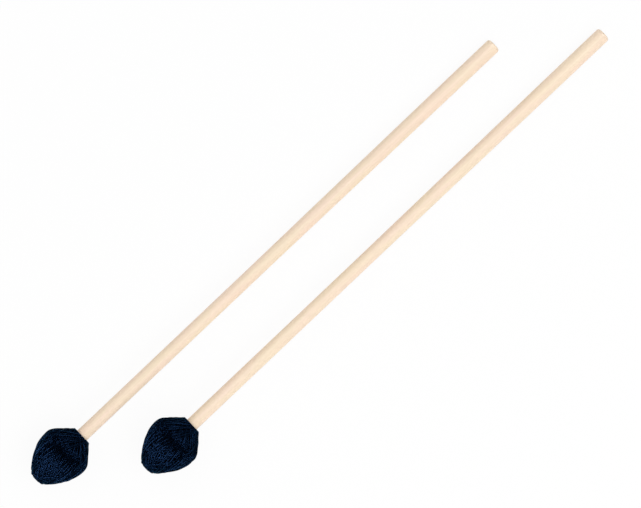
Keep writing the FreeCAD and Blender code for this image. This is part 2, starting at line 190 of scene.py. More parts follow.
# The pile: how much of its diameter a cord adds where it lies on others, how many
# layers the head may gain at most, and the cells that the heights are kept in
LAYER_SHARE = 0.8
LAYERS = 2.2
THINNEST_SHARE = 0.25
GRID_TURN = 720
CREST_REACH = 3
CREST_TURN = 40
CREST_ROWS = 3

# Pulling tight, and pressing the pile to the outline
TIGHTENING_PASSES = 60
SHORTEST_RUN = 1e-6
PROUD_SHARE = 0.25
DEEPEST = 1.6
SINKING_SHARE = 0.75
FLATTEST_BEND = 1e-3
DEPTH_REACH = 3

# Points along a finished line
LINE_REACH = 2
SAME_PLACE = 1e-4


class CordPile:
    """Height of the cord laid so far, over distance along the outline and turn round it."""

    def __init__(self, outline, cord, loops, front_eye, rear_eye):
        self.outline = outline
        self.radius = cord / 2
        eye = np.where(outline.distances < outline.length / 2, front_eye, rear_eye)
        open_radius = np.sqrt(np.maximum(outline.radii ** 2 - eye ** 2, cord ** 2))
        crossings = loops * cord / (math.pi * open_radius)
        self.thickness = cord * LAYER_SHARE * np.clip(LAYERS / crossings, THINNEST_SHARE, 1.0)
        least_radius = min(front_eye, rear_eye)
        self.heights = np.zeros((len(outline.distances), GRID_TURN))
        rows = math.ceil(self.radius / outline.step)
        turns = math.ceil(self.radius * GRID_TURN / (2 * math.pi * least_radius))
        row_shift, turn_shift = np.meshgrid(
            np.arange(-rows, rows + 1), np.arange(-turns, turns + 1), indexing="ij"
        )
        self.row_shift, self.turn_shift = row_shift.ravel(), turn_shift.ravel()

    def cells_under(self, distance, angle):
        """Cells near each sample of a cord, and how far each lies from its middle."""
        rows, turns = self.heights.shape
        row_place = distance / self.outline.step
        turn_place = angle * turns / (2 * math.pi)
        row = np.rint(row_place).astype(int)[:, None] + self.row_shift
        turn = np.rint(turn_place).astype(int)[:, None] + self.turn_shift
        along = (row - row_place[:, None]) * self.outline.step
        round_radius = self.outline.at(distance, self.outline.radii)
        beside = (turn - turn_place[:, None]) * (round_radius * 2 * math.pi / turns)[:, None]
        return row.clip(0, rows - 1), turn % turns, np.hypot(along, beside)

    def layer(self, distance):
        """Thickness that one crossing adds: less near the eyes, where cords spread flat."""
        return self.outline.at(distance, self.thickness)

    def resting_height(self, cells, distance):
        """Height at which a cord comes to rest on what lies below it."""
        row, turn, apart = cells
        below = self.heights[row, turn]
        weight = np.clip(1 - apart / self.radius, 0.0, 1.0)
        support = (below * weight).sum(axis=1) / weight.sum(axis=1)
        return support + self.layer(distance) / 2

    def lay(self, cells, distance, height):
        """Raise the cells under a cord to its top."""
        row, turn, apart = cells
        roundness = np.sqrt(np.maximum(1 - (apart / self.radius) ** 2, 0.0))
        top = height[:, None] + roundness * self.layer(distance)[:, None] / 2
        under = apart < self.radius
        np.maximum.at(self.heights, (row[under], turn[under]), top[under])

    def outside(self):
        """Smooth outside of the pile, over the crests of its outermost turns."""
        crests = self.heights
        for _ in range(CREST_REACH):
            beside = np.maximum(np.roll(crests, 1, axis=1), np.roll(crests, -1, axis=1))
            crests = np.maximum(crests, beside)
            below = np.vstack((crests[1:], crests[-1:]))
            above = np.vstack((crests[:1], crests[:-1]))
            crests = np.maximum(crests, np.maximum(below, above))
        padded = np.pad(crests, ((0, 0), (CREST_TURN, CREST_TURN)), mode="wrap")
        crests = averaged(padded.T, CREST_TURN).T
        padded = np.pad(crests, ((CREST_ROWS, CREST_ROWS), (0, 0)), mode="edge")
        return averaged(padded, CREST_ROWS)


def loop_path(outline, phases, front, rear_before, rear_after, start, advance):
    """Distance along the outline and angle of one loop over both crowns.

    The loop goes forward from one rear crossing to the next, passes beside the axis at
    the front and comes back on the other side.
    """
    forward = phases < 0.5
    reach = (1 - np.cos(math.pi * np.abs(1 - 2 * phases))) / 2
    rear = np.where(forward, rear_before, rear_after)
    distance = front + (outline.length - rear - front) * reach
    here = outline.at(distance, outline.radii)
    front_radius = outline.at(front, outline.radii)
    rear_radius = outline.at(outline.length - rear, outline.radii)
    beside = front_radius * (1 - reach) - rear_radius * reach
    across = np.sqrt(np.maximum(here * here - beside * beside, 0.0))
    swing = np.arctan2(np.where(forward, -across, across), beside)
    return distance, swing + start + advance * phases


def lay_cord(outline, front_eyes, rear_eyes, cord):
    """Route of one long cord laid loop by loop over the head, and the pile it makes.

    Each loop is nudged to where it lies lowest. It is pulled tight, so it bridges the
    dips between the turns below it.
    Returns distance along the outline, angle and height for every sample of the route.
    """
    loops = len(front_eyes)
    pile = CordPile(outline, cord, loops, front_eyes[-1], rear_eyes[-1])
    advance = 2 * math.pi * ROUNDS / loops
    belly = outline.radii.max()
    phases = (np.arange(SAMPLES) + 0.5) / SAMPLES
    route = []
    last_height = 0.0
    for loop in range(loops):
        choices = []
        for nudge in NUDGE_SHARES:
            distance, angle = loop_path(
                outline, phases, front_eyes[loop], rear_eyes[loop], rear_eyes[loop + 1],
                advance * loop + nudge * cord / belly, advance
            )
            cells = pile.cells_under(distance, angle)
            resting = pile.resting_height(cells, distance)
            choices.append((resting.mean(), nudge, resting, distance, angle, cells))
        resting, distance, angle, cells = min(choices, key=lambda choice: choice[:2])[2:]
        height = pull_tight(outline, resting, distance, angle, last_height)
        last_height = height[-1]
        pile.lay(cells, distance, height)
        route.append(np.column_stack((distance, angle, height)))
    return np.vstack(route), pile


def pull_tight(outline, resting, distance, angle, start):
    """Heights of a cord under tension that can't sink below its resting ones."""
    here = outline.at(distance, outline.radii)
    ahead = np.hypot(np.diff(distance), np.diff(angle) * here[1:])
    run = np.hypot(np.gradient(distance), np.gradient(angle) * here)
    lean = np.gradient(distance) / np.maximum(run, SHORTEST_RUN)
    facing = outline.at(distance, outline.facing_radius)
    bend = outline.at(distance, outline.bend) * lean ** 2 + facing / here * (1 - lean ** 2)
    before = np.concatenate(([ahead[0]], ahead))
    after = np.concatenate((ahead, [ahead[-1]]))
    share = after / (before + after)
    dip = bend * before * after / 2
    height = resting.copy()
    for _ in range(TIGHTENING_PASSES):
        left = np.concatenate(([start], height[:-1]))
        right = np.concatenate((height[1:], [height[-1]]))
        height = np.maximum(resting, share * left + (1 - share) * right - dip)
    return height


def settled_line(outline, route, pile):
    """Middle line of the cord once the head is pressed to its outline.

    The outermost turns lie just under the outline. Deeper ones keep their order below
    them, more closely the deeper they are.
    """
    distance, angle, height = route.T
    outside = pile.outside()
    row = np.rint(distance / outline.step).astype(int).clip(0, len(outside) - 1)
    turn = np.rint(angle * GRID_TURN / (2 * math.pi)).astype(int) % GRID_TURN
    under = (outside[row, turn] - height - pile.layer(distance) / 2) / LAYER_SHARE
    under = np.maximum(under, -PROUD_SHARE * 2 * pile.radius)
    bend = np.maximum(outline.at(distance, outline.bend), FLATTEST_BEND)
    room = np.minimum(DEEPEST, SINKING_SHARE / bend - pile.radius)
    room = np.maximum(room, pile.radius)
    depth = pile.radius + np.where(under > 0, room * (1 - np.exp(-under / room)), under)
    return outline.points_under(distance, angle, eased(depth, DEPTH_REACH))


def evenly_placed(line, spacing, turn_weight):
    """The same line with points closer together where it bends more."""
    line = np.column_stack([eased(values, LINE_REACH) for values in line.T])
    steps = np.linalg.norm(np.diff(line, axis=0), axis=1)
    line = line[np.concatenate(([True], steps > SAME_PLACE))]
    steps = np.linalg.norm(np.diff(line, axis=0), axis=1)
    headings = np.diff(line, axis=0) / steps[:, None]
    turns = np.arccos(np.clip((headings[1:] * headings[:-1]).sum(axis=1), -1, 1))
    turns = np.concatenate(([0.0], turns))
    cost = steps / spacing + turns * turn_weight
    total = np.concatenate(([0.0], np.cumsum(cost)))
    wanted = np.linspace(0.0, total[-1], int(total[-1]) + 1)
    return np.column_stack([np.interp(wanted, total, values) for values in line.T])


# Making tubes

# A round bevel has four sides, and two more for each step of its resolution
TUBE_BEVEL = 2
TUBE_SIDES = 4 + 2 * TUBE_BEVEL
WELD = 0.001


def tube_piece(name, mallet, line, diameter):
    """A tube along a line, with the length along it and the way round it as its UV map."""
    curve = bpy.data.curves.new(name, "CURVE")
    curve.dimensions = "3D"
    curve.twist_mode = "MINIMUM"
    curve.bevel_depth = diameter / 2 * MM
    curve.bevel_resolution = TUBE_BEVEL
    curve.use_fill_caps = True
    spline = curve.splines.new("POLY")
    spline.points.add(len(line) - 1)
    places = np.column_stack((mallet.place(line), np.ones(len(line))))
    spline.points.foreach_set("co", places.ravel())
    holder = bpy.data.objects.new(f"{name}_line", curve)
    bpy.context.scene.collection.objects.link(holder)
    bpy.context.view_layer.update()
    made = holder.evaluated_get(bpy.context.evaluated_depsgraph_get())
    mesh = bpy.data.meshes.new_from_object(made)
    bpy.data.objects.remove(holder)
    bpy.data.curves.remove(curve)
    mesh.name = name
    write_tube_map(mesh, line)
    close_ends(mesh)
    return new_piece(name, mesh)


def new_piece(name, mesh):
    """Smooth-shaded object of a finished mesh, at the origin."""
    mesh.shade_smooth()
    piece = bpy.data.objects.new(name, mesh)
    bpy.context.scene.collection.objects.link(piece)
    return piece


def close_ends(mesh):
    """Join the round caps of a tube to its end rings."""
    tube = bmesh.new()
    tube.from_mesh(mesh)
    ends = [corner for corner in tube.verts if corner.is_boundary]
    bmesh.ops.remove_doubles(tube, verts=ends, dist=WELD * MM)
    tube.to_mesh(mesh)
    tube.free()


def write_tube_map(mesh, line):
    """UV map of a tube: millimetres along it, and turns round it from 0 to 1."""
    runs = np.linalg.norm(np.diff(line, axis=0), axis=1)
    travelled = np.concatenate(([0.0], np.cumsum(runs)))
    corners = np.zeros(len(mesh.loops), int)
    mesh.loops.foreach_get("vertex_index", corners)
    totals = np.zeros(len(mesh.polygons), int)
    mesh.polygons.foreach_get("loop_total", totals)
    faces = np.repeat(np.arange(len(totals)), totals)
    ring = np.minimum(corners // TUBE_SIDES, len(line) - 1)
    side = (corners % TUBE_SIDES).astype(float)
    # A face between the last side and the first one ends at a full turn
    widest = np.zeros(len(totals))
    np.maximum.at(widest, faces, side)
    wraps = (widest[faces] == TUBE_SIDES - 1) & (side == 0) & (totals[faces] == 4)
    side[wraps] = TUBE_SIDES
    cord_map = mesh.uv_layers.get("cord_map") or mesh.uv_layers.new(name="cord_map")
    places = np.column_stack((travelled[ring], side / TUBE_SIDES))
    cord_map.data.foreach_set("uv", places.ravel())
    for other in [layer.name for layer in mesh.uv_layers if layer.name != "cord_map"]:
        mesh.uv_layers.remove(mesh.uv_layers[other])


# Material helpers

# Places of a Mix node's colour sockets, which share their names with its other ones
FIRST_COLOUR, SECOND_COLOUR, MIXED_COLOUR = 6, 7, 2


def new_material(name):
    material = bpy.data.materials.new(name)
    material.use_nodes = True
    tree = material.node_tree
    tree.nodes.clear()
    surface = tree.nodes.new("ShaderNodeBsdfPrincipled")
    output = tree.nodes.new("ShaderNodeOutputMaterial")
    tree.links.new(surface.outputs["BSDF"], output.inputs["Surface"])
    return material, tree, surface


def feed(tree, socket, value):
    """Link a socket to another one, or set its plain value."""
    if isinstance(value, bpy.types.NodeSocket):
        tree.links.new(value, socket)
    else:
        socket.default_value = value


def maths(tree, operation, first, second=0.0, third=None):
    step = tree.nodes.new("ShaderNodeMath")
    step.operation = operation
    feed(tree, step.inputs[0], first)
    feed(tree, step.inputs[1], second)
    if third is not None:
        feed(tree, step.inputs[2], third)
    return step.outputs[0]


def times(tree, first, second):
    return maths(tree, "MULTIPLY", first, second)


def vector_maths(tree, operation, first, second=None, output="Vector"):
    step = tree.nodes.new("ShaderNodeVectorMath")
    step.operation = operation
    feed(tree, step.inputs[0], first)
    if second is not None:
        feed(tree, step.inputs["Scale" if operation == "SCALE" else 1], second)
    return step.outputs[output]


def parts_of(tree, vector):
    """The three numbers of a vector, as sockets named X, Y and Z."""
    split = tree.nodes.new("ShaderNodeSeparateXYZ")
    feed(tree, split.inputs[0], vector)
    return split.outputs


def joined(tree, *numbers):
    """Vector of up to three numbers."""
    join = tree.nodes.new("ShaderNodeCombineXYZ")
    for socket, number in zip(join.inputs, numbers):
        feed(tree, socket, number)
    return join.outputs[0]


def blended(tree, amount, first, second):
    """Two colours blended by a mask."""
    mix = tree.nodes.new("ShaderNodeMix")
    mix.data_type = "RGBA"
    feed(tree, mix.inputs["Factor"], amount)
    feed(tree, mix.inputs[FIRST_COLOUR], first)
    feed(tree, mix.inputs[SECOND_COLOUR], second)
    return mix.outputs[MIXED_COLOUR]


def stretched(tree, vector, scale):
    mapping = tree.nodes.new("ShaderNodeMapping")
    feed(tree, mapping.inputs["Vector"], vector)
    mapping.inputs["Scale"].default_value = scale
    return mapping.outputs["Vector"]


def noise(tree, vector, scale=1.0, detail=2.0, roughness=0.5):
    texture = tree.nodes.new("ShaderNodeTexNoise")
    feed(tree, texture.inputs["Vector"], vector)
    feed(tree, texture.inputs["Scale"], scale)
    texture.inputs["Detail"].default_value = detail
    texture.inputs["Roughness"].default_value = roughness
    return texture.outputs["Fac"]


def between(tree, value, low, high, to_low=0.0, to_high=1.0):
    """Smooth step of a value from one number to another."""
    span = tree.nodes.new("ShaderNodeMapRange")
    span.interpolation_type = "SMOOTHSTEP"
    feed(tree, span.inputs["Value"], value)
    feed(tree, span.inputs["From Min"], low)
    feed(tree, span.inputs["From Max"], high)
    feed(tree, span.inputs["To Min"], to_low)
    feed(tree, span.inputs["To Max"], to_high)
    return span.outputs["Result"]


def new_group(name, inputs, outputs):
    """Empty node group with named sockets."""
    group = bpy.data.node_groups.new(name, "ShaderNodeTree")
    for label, kind, value in inputs:
        socket = group.interface.new_socket(
            name=label, in_out="INPUT", socket_type=f"NodeSocket{kind}"
        )
        if kind == "Float":
            socket.default_value = value
    for label, kind in outputs:
        group.interface.new_socket(name=label, in_out="OUTPUT", socket_type=f"NodeSocket{kind}")
    entry = group.nodes.new("NodeGroupInput")
    leave = group.nodes.new("NodeGroupOutput")
    return group, entry.outputs, leave.inputs


def placed_group(tree, group, **values):
    """A node group in a material, with its inputs given by name; returns its outputs."""
    node = tree.nodes.new("ShaderNodeGroup")
    node.node_tree = group
    for label, value in values.items():
        feed(tree, node.inputs[label.replace("_", " ")], value)
    return node.outputs


def bumped(tree, surface, height, strength, distance, normal=None):
    bump = tree.nodes.new("ShaderNodeBump")
    if normal is not None:
        tree.links.new(normal, bump.inputs["Normal"])
    bump.inputs["Strength"].default_value = strength
    bump.inputs["Distance"].default_value = distance
    tree.links.new(height, bump.inputs["Height"])
    tree.links.new(bump.outputs["Normal"], surface.inputs["Normal"])


# Effects that materials share

def make_twist_group():
    """Twisted plies of a cord, with the fine fibres that run along them, and a mask for the painted
    shade in the grooves between the plies.
    """
    group, given, result = new_group(
        "twisted_plies",
        [
            ("Cord map", "Vector", None),
            ("Plies", "Float", 3.0),
            ("Lay length", "Float", 4.0),
            ("Fibres", "Float", 6.0),
        ],
        [("Ply height", "Float"), ("Groove", "Float"), ("Fibre", "Float"), ("Drift", "Float")],
    )
    place = parts_of(group, given["Cord map"])
    along, around = place["X"], place["Y"]
    turned = maths(group, "ADD", around, maths(group, "DIVIDE", along, given["Lay length"]))
    wave = times(group, times(group, turned, given["Plies"]), math.pi)
    crest = maths(group, "ABSOLUTE", maths(group, "SINE", wave))
    angle = times(group, turned, 2 * math.pi)
    sideways, upwards = maths(group, "COSINE", angle), maths(group, "SINE", angle)
    ply = joined(group, sideways, upwards, times(group, along, 0.25))
    fibre = noise(group, ply, scale=given["Fibres"], detail=3.0, roughness=0.6)
    drift = noise(group, joined(group, times(group, along, 0.06)), roughness=0.6)
    feed(group, result["Ply height"], maths(group, "ADD", crest, times(group, fibre, 0.35)))
    # Painted shade mask: 1 in the grooves between the plies, 0 on their crests
    feed(group, result["Groove"], between(group, crest, 0.0, 0.5, to_low=1.0, to_high=0.0))
    feed(group, result["Fibre"], fibre)
    feed(group, result["Drift"], drift)
    return group


def make_grain_group():
    """Pale close-grained wood: faint growth rings, long fibres and short dark flecks."""
    group, given, result = new_group(
        "birch_grain",
        [("Wood place", "Vector", None), ("Ring width", "Float", 1.6)],
        [(label, "Float") for label in ("Ring", "Fibre", "Fleck", "Drift", "Height")],
    )
    place = given["Wood place"]
    waver = noise(group, stretched(group, place, (0.012, 0.16, 0.16)))
    across = parts_of(group, place)
    leaning = maths(group, "ADD", across["Y"], times(group, across["Z"], 0.55))
    leaning = maths(group, "ADD", leaning, times(group, waver, 6.0))
    leaning = maths(group, "DIVIDE", times(group, leaning, 2 * math.pi), given["Ring width"])
    ring = maths(group, "MULTIPLY_ADD", maths(group, "SINE", leaning), 0.5, 0.5)
    fibre = noise(group, stretched(group, place, (0.02, 2.2, 2.2)), detail=3.0, roughness=0.55)
    streak = noise(group, stretched(group, place, (0.16, 5.0, 5.0)))
    drift = noise(group, stretched(group, place, (0.03, 0.18, 0.18)))
    feed(group, result["Ring"], ring)
    feed(group, result["Fibre"], fibre)
    feed(group, result["Fleck"], between(group, streak, 0.66, 0.78))
    feed(group, result["Drift"], drift)
    feed(group, result["Height"], maths(group, "ADD", fibre, times(group, streak, -0.5)))
    return group


def make_turned_group():
    """Normal of a turned piece: the mesh's own with nothing of it round the axis, so
    that no seam or facet shows along the piece."""
    group, given, result = new_group(
        "turned_normal",
        [("From axis", "Vector", None), ("Along", "Vector", None), ("Mesh normal", "Vector", None)],
        [("Normal", "Vector")],
    )
    normal = given["Mesh normal"]
    around = vector_maths(group, "CROSS_PRODUCT", given["Along"], given["From axis"])
    around = vector_maths(group, "NORMALIZE", around)
    share = vector_maths(group, "DOT_PRODUCT", normal, around, "Value")
    turned = vector_maths(group, "SUBTRACT", normal, vector_maths(group, "SCALE", around, share))
    feed(group, result["Normal"], vector_maths(group, "NORMALIZE", turned))
    return group


TWIST = make_twist_group()
GRAIN = make_grain_group()
TURNED = make_turned_group()


# Materials

# Dyed cord: the painted shade of its grooves, its darker and paler fibres, and the tint of its
# edges
CORD_GROOVE_PAINTED_SHADE = (0.0003, 0.001, 0.003, 1)
CORD_DARK = (0.0009, 0.003, 0.0092, 1)
CORD_LIT = (0.0023, 0.0074, 0.0225, 1)
CORD_EDGE = (0.38, 0.56, 0.68, 1.0)
# Inner turns of the same cord, painted far darker than it as the shade of the outer ones, and
# darker still between their rows
INNER_DIP_PAINTED_SHADE = (0.0001, 0.0003, 0.001, 1)
INNER_CREST_PAINTED_SHADE = (0.0005, 0.0015, 0.005, 1)
INNER_EDGE = (0.15, 0.45, 1.0, 1.0)
INNER_LEAN = 0.16
INNER_ROWS = 54.0
# Birch: two pale tones that drift into each other, and what marks them
BIRCH_CREAM = (0.93, 0.775, 0.58, 1)
BIRCH_ROSE = (0.945, 0.745, 0.6, 1)
BIRCH_RING = (0.89, 0.7, 0.515, 1)
BIRCH_FIBRE = (0.8, 0.62, 0.42, 1)
BIRCH_FLECK = (0.6, 0.42, 0.25, 1)
# Each shaft is cut from its own place in the wood
BIRCH_SHIFT = (310.0, 3.1, 7.7)


def cord_finish(name, plies, lay_length, roughness):
    """Twisted cord: painted shade in its grooves, with a blue shine on the plies."""
    material, tree, surface = new_material(name)
    cord_map = tree.nodes.new("ShaderNodeUVMap")
    cord_map.uv_map = "cord_map"
    twist = placed_group(
        tree, TWIST, Cord_map=cord_map.outputs["UV"], Plies=plies, Lay_length=lay_length, Fibres=5.0
    )
    fibre = between(tree, twist["Fibre"], 0.3, 0.7)
    drift = between(tree, twist["Drift"], 0.3, 0.7)
    mask = maths(tree, "MULTIPLY_ADD", fibre, 0.55, times(tree, drift, 0.45))
    colour = blended(tree, mask, CORD_DARK, CORD_LIT)
    # Painted shade darkens the cord in the grooves between its plies
    colour = blended(tree, times(tree, twist["Groove"], 0.75), colour, CORD_GROOVE_PAINTED_SHADE)
    rough = between(
        tree, twist["Fibre"], 0.2, 0.8, to_low=roughness - 0.04, to_high=roughness + 0.08
    )
    feed(tree, surface.inputs["Base Color"], colour)
    feed(tree, surface.inputs["Roughness"], rough)
    surface.inputs["Metallic"].default_value = 0.94
    surface.inputs["Specular IOR Level"].default_value = 0.2
    surface.inputs["Specular Tint"].default_value = CORD_EDGE
    bumped(tree, surface, twist["Ply height"], strength=0.7, distance=0.00012)
    return material


def inner_cord_finish():
    """Inner turns of cord, seen only between the outer ones, painted dark as the shade that the
    outer ones cast and darkest between their rows.
    """
    material, tree, surface = new_material("inner_cord")
    layer_map = tree.nodes.new("ShaderNodeUVMap")
    layer_map.uv_map = "layer_map"
    place = parts_of(tree, layer_map.outputs["UV"])
    crests = []
    for lean in (INNER_LEAN, -INNER_LEAN):
        rows = maths(tree, "MULTIPLY_ADD", place["X"], lean, times(tree, place["Y"], INNER_ROWS))
        crests.append(maths(tree, "ABSOLUTE", maths(tree, "SINE", times(tree, rows, math.pi))))
    height = maths(tree, "MAXIMUM", *crests)
    # Painted shade: dark as the shade under the outer turns, darker still in the dips between the
    # rows
    feed(tree, surface.inputs["Base Color"], blended(tree, height, INNER_DIP_PAINTED_SHADE, INNER_CREST_PAINTED_SHADE))
    surface.inputs["Roughness"].default_value = 0.7
    surface.inputs["Specular IOR Level"].default_value = 0.15
    surface.inputs["Specular Tint"].default_value = INNER_EDGE
    bumped(tree, surface, height, strength=0.8, distance=0.0003)
    return material


def birch_finish(mallet):
    """Pale sanded birch under a thin satin lacquer."""
    material, tree, surface = new_material(f"birch_{mallet.number}")
    here = tree.nodes.new("ShaderNodeTexCoord").outputs["Object"]
    placed = tree.nodes.new("ShaderNodeMapping")
    placed.vector_type = "TEXTURE"
    placed.inputs["Location"].default_value = mallet.origin
    placed.inputs["Rotation"].default_value = (0, mallet.tilt, 0)
    placed.inputs["Scale"].default_value = (MM, MM, MM)
    tree.links.new(here, placed.inputs["Vector"])
    shift = [part * mallet.number for part in BIRCH_SHIFT]
    wood_place = vector_maths(tree, "ADD", placed.outputs["Vector"], shift)
    grain = placed_group(tree, GRAIN, Wood_place=wood_place, Ring_width=1.9)
    colour = blended(tree, between(tree, grain["Drift"], 0.35, 0.65), BIRCH_CREAM, BIRCH_ROSE)
    colour = blended(tree, times(tree, grain["Ring"], 0.4), colour, BIRCH_RING)
    fibre = between(tree, grain["Fibre"], 0.3, 0.75)
    colour = blended(tree, times(tree, fibre, 0.2), colour, BIRCH_FIBRE)
    colour = blended(tree, times(tree, grain["Fleck"], 0.45), colour, BIRCH_FLECK)
    rough = between(tree, grain["Fibre"], 0.2, 0.8, to_low=0.5, to_high=0.62)
    feed(tree, surface.inputs["Base Color"], colour)
    feed(tree, surface.inputs["Roughness"], rough)
    surface.inputs["Specular IOR Level"].default_value = 0.32
    surface.inputs["Coat Weight"].default_value = 0.08
    surface.inputs["Coat Roughness"].default_value = 0.4
    from_axis = vector_maths(tree, "SUBTRACT", here, mallet.origin)
    mesh_normal = tree.nodes.new("ShaderNodeNewGeometry").outputs["Normal"]
    turned = placed_group(
        tree, TURNED, From_axis=from_axis, Along=mallet.along, Mesh_normal=mesh_normal
    )
    bumped(tree, surface, grain["Height"], strength=0.15, distance=0.00004, normal=turned["Normal"])
    return material


def plain_finish(name, colour, worn):
    """Plain piece that others cover, with a faint bloom or speckle."""
    material, tree, surface = new_material(name)
    here = tree.nodes.new("ShaderNodeTexCoord").outputs["Object"]
    speckle = noise(tree, here, scale=900.0, detail=3.0, roughness=0.6)
    bloom = between(tree, speckle, 0.35, 0.7)
    feed(tree, surface.inputs["Base Color"], blended(tree, bloom, colour, worn))
    rough = between(tree, speckle, 0.2, 0.8, to_low=0.6, to_high=0.8)
    feed(tree, surface.inputs["Roughness"], rough)
    bumped(tree, surface, speckle, strength=0.2, distance=0.0001)
    return material


navy_cord = cord_finish("navy_cord", plies=3.0, lay_length=4.2, roughness=0.29)
navy_thread = cord_finish("navy_thread", plies=2.0, lay_length=2.2, roughness=0.36)
inner_cord = inner_cord_finish()
core_rubber = plain_finish("core_rubber", (0.012, 0.012, 0.012, 1), (0.03, 0.03, 0.03, 1))
sleeve_rubber = plain_finish("sleeve_rubber", (0.45, 0.32, 0.15, 1), (0.52, 0.38, 0.2, 1))
plain_cord = plain_finish("plain_cord", CORD_DARK, CORD_LIT)


# Handing pieces over

def set_material(piece, material):
    piece.data.materials.clear()
    piece.data.materials.append(material)


def finish_node(mallet, name, material):
    for slot in mallet.node(name).material_slots:
        slot.material = material


def hand_over(piece, mallet, slot, *nodes):
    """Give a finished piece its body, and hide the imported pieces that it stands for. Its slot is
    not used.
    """
    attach(piece, mallet.body)
    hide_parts(*[f"{node}_{mallet.number}" for node in nodes])


# Outer winding

# Every loop passes beside the axis at a distance of its own, measured along the outline.
# At the front the first loops may come nearer to it, because later ones bury them.
SEED = 20
FRONT_EYE = 4.3
FRONT_EYE_SPREAD = 3.6
BURIED_SHARE = 0.35
BURIED_EYES = (1.2, 5.0)
NECK_GAP = 0.15
REAR_EYE_SPREAD = 1.7
REAR_EYE_GAP = 0.1
CORD_SPACING = 1.42
CORD_TURN_WEIGHT = 2.5


def crown_eyes(mallet, loops):
    """How far from the axis each loop passes, at the front and at the rear."""
    rng = np.random.default_rng(SEED + mallet.number)
    narrowing = np.linspace(1.0, 0.0, loops)
    front_eyes = FRONT_EYE + FRONT_EYE_SPREAD * (0.5 + 0.5 * narrowing) * rng.uniform(0, 1, loops)
    buried = np.arange(loops) < loops * BURIED_SHARE
    front_eyes = np.where(buried, rng.uniform(*BURIED_EYES, loops), front_eyes)
    neck = mallet.neck_radius + THREAD + CORD / 2 + NECK_GAP
    narrowing = np.linspace(1.0, 0.0, loops + 1)
    rear_eyes = neck + REAR_EYE_SPREAD * narrowing * rng.uniform(0, 1, loops + 1) + REAR_EYE_GAP
    return front_eyes, rear_eyes


def outer_winding(mallet, outline):
    """One long cord laid criss-cross over the head."""
    loops = LOOPS
    route, pile = lay_cord(outline, *crown_eyes(mallet, loops), CORD)
    line = evenly_placed(settled_line(outline, route, pile), CORD_SPACING, CORD_TURN_WEIGHT)
    cord = tube_piece(f"outer_winding_cord_{mallet.number}", mallet, line, CORD)
    set_material(cord, navy_cord)
    hand_over(cord, mallet, "outer_cord", "outer_winding")


# Inner layers

INNER_DEPTH = 1.55
INNER_STRIDE = 4
INNER_SIDES = 96
HOLLOW_GAP = 0.05


def inner_layers(mallet, outline):
    """Inner layers of cord as one closed body, with the hollow that the core fills."""
    stations, radii = inner_outline(mallet, outline)
    layers = turned_layer(f"inner_layers_{mallet.number}", mallet, stations, radii, INNER_SIDES)
    set_material(layers, inner_cord)
    hand_over(layers, mallet, "inner_cord", "under_winding")


def inner_outline(mallet, outline):
    """Half outline of the inner layers: outside under the cord, then the bore for the
    shaft and the hollow round the sleeved core, back to the axis."""
    stations = outline.stations - outline.facing_station * INNER_DEPTH
    radii = outline.radii - outline.facing_radius * INNER_DEPTH
    bore = mallet.neck_radius + HOLLOW_GAP
    first_half = outline.distances < outline.length / 2
    outside = np.where(first_half, radii > 0, radii > bore)
    stations, radii = stations[outside][::INNER_STRIDE], radii[outside][::INNER_STRIDE]
    hollow_stations, hollow_radii = hollow_outline(mallet)
    rear, front = stations[-1:], hollow_stations[-1:]
    stations = np.concatenate((stations[:1], stations, rear, hollow_stations, front))
    radii = np.concatenate(([0.0], radii, [bore], hollow_radii, [0.0]))
    return stations, radii


def hollow_outline(mallet):
    """Outline of the sleeved core with a little room round it, from its rear to its front."""
    stations, radii = mallet.measured("core_sleeve")
    bore = mallet.neck_radius + HOLLOW_GAP
    corners = sorted(zip(stations.tolist(), radii.tolist()))
    crest = []
    for corner in [(stations.min(), bore)] + corners + [(stations.max(), bore)]:
        while len(crest) > 1 and below_crest(crest[-2], crest[-1], corner):
            crest.pop()
        crest.append(corner)
    crest = np.array(crest)[::-1]
    outward = np.where(np.arange(len(crest)) < len(crest) / 2, HOLLOW_GAP, -HOLLOW_GAP)
    return crest[:, 0] + outward, crest[:, 1] + HOLLOW_GAP * (crest[:, 1] > bore + HOLLOW_GAP)


def below_crest(first, middle, last):
    """True where the middle corner lies on or under the line past it."""
    rise = (middle[1] - first[1]) * (last[0] - first[0])
    return rise <= (last[1] - first[1]) * (middle[0] - first[0])


def turned_layer(name, mallet, stations, radii, sides):
    """Closed body turned from a half outline round the mallet's axis."""
    shell = bmesh.new()
    corners = [shell.verts.new((station, radius, 0)) for station, radius in zip(stations, radii)]
    for first, second in zip(corners, corners[1:]):
        shell.edges.new((first, second))
    bmesh.ops.spin(
        shell, geom=shell.verts[:] + shell.edges[:], cent=(0, 0, 0), axis=(1, 0, 0),
        angle=2 * math.pi, steps=sides, use_merge=True
    )
    bmesh.ops.remove_doubles(shell, verts=shell.verts[:], dist=WELD)
    bmesh.ops.recalc_face_normals(shell, faces=shell.faces[:])
    if shell.calc_volume(signed=True) < 0:
        bmesh.ops.reverse_faces(shell, faces=shell.faces[:])
    write_layer_map(shell, stations, radii)
    bmesh.ops.transform(shell, matrix=mallet.matrix(), verts=shell.verts[:])
    mesh = bpy.data.meshes.new(name)
    shell.to_mesh(mesh)
    shell.free()
    return new_piece(name, mesh)


